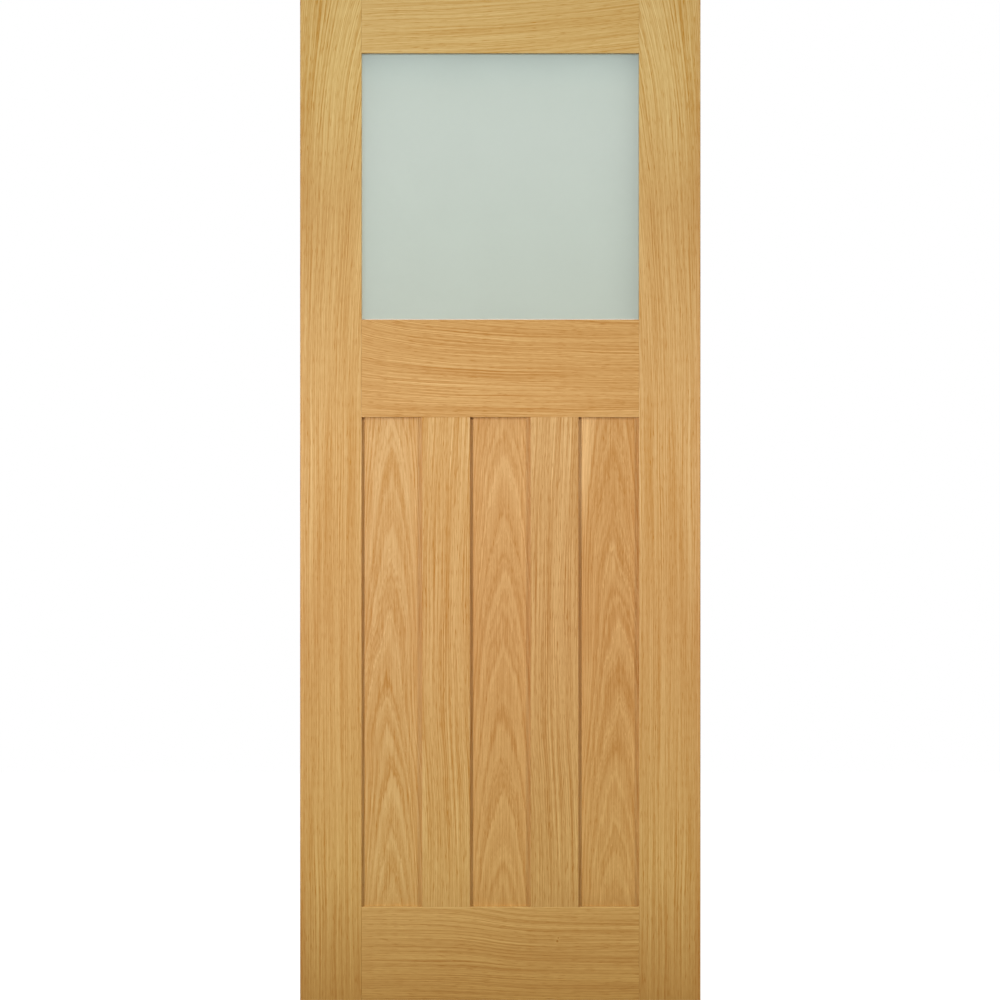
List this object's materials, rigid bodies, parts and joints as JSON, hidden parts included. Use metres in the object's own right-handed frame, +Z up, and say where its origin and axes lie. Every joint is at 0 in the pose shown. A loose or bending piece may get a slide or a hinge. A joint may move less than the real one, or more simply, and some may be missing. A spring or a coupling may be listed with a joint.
{
  "type": "glazed door",
  "caption": "Oak internal door leaf with a frosted glass light over a deep lock rail and flat recessed panels between muntins; the glass is beaded from the back.",
  "frame": {"origin": "On the face of the hinge edge, half way through the thickness, at the foot of the leaf.", "axes": "+X runs from the hinge edge to the lock edge, +Y from the front face to the back face with its glazing beads, +Z up."},
  "size_m": [0.813, 0.035, 2.032],
  "materials": {
    "oak_frame": "satin",
    "oak_panel": "satin",
    "oak_solid": "satin",
    "frosted_glass": "matte",
    "glazing_tape": "matte"
  },
  "bodies": {
    "root": {"left_stile": "oak_frame", "right_stile": "oak_frame", "top_rail": "oak_frame", "lock_rail": "oak_frame", "bottom_rail": "oak_frame", "left_muntin": "oak_frame", "right_muntin": "oak_frame", "left_panel": "oak_panel", "middle_panel": "oak_panel", "right_panel": "oak_panel", "left_lipping": "oak_solid", "right_lipping": "oak_solid", "top_bead": "oak_solid", "bottom_bead": "oak_solid", "left_bead": "oak_solid", "right_bead": "oak_solid", "glass_pane": "frosted_glass", "front_top_tape": "glazing_tape", "front_bottom_tape": "glazing_tape", "front_left_tape": "glazing_tape", "front_right_tape": "glazing_tape", "back_top_tape": "glazing_tape", "back_bottom_tape": "glazing_tape", "back_left_tape": "glazing_tape", "back_right_tape": "glazing_tape"}
  },
  "joints": []
}
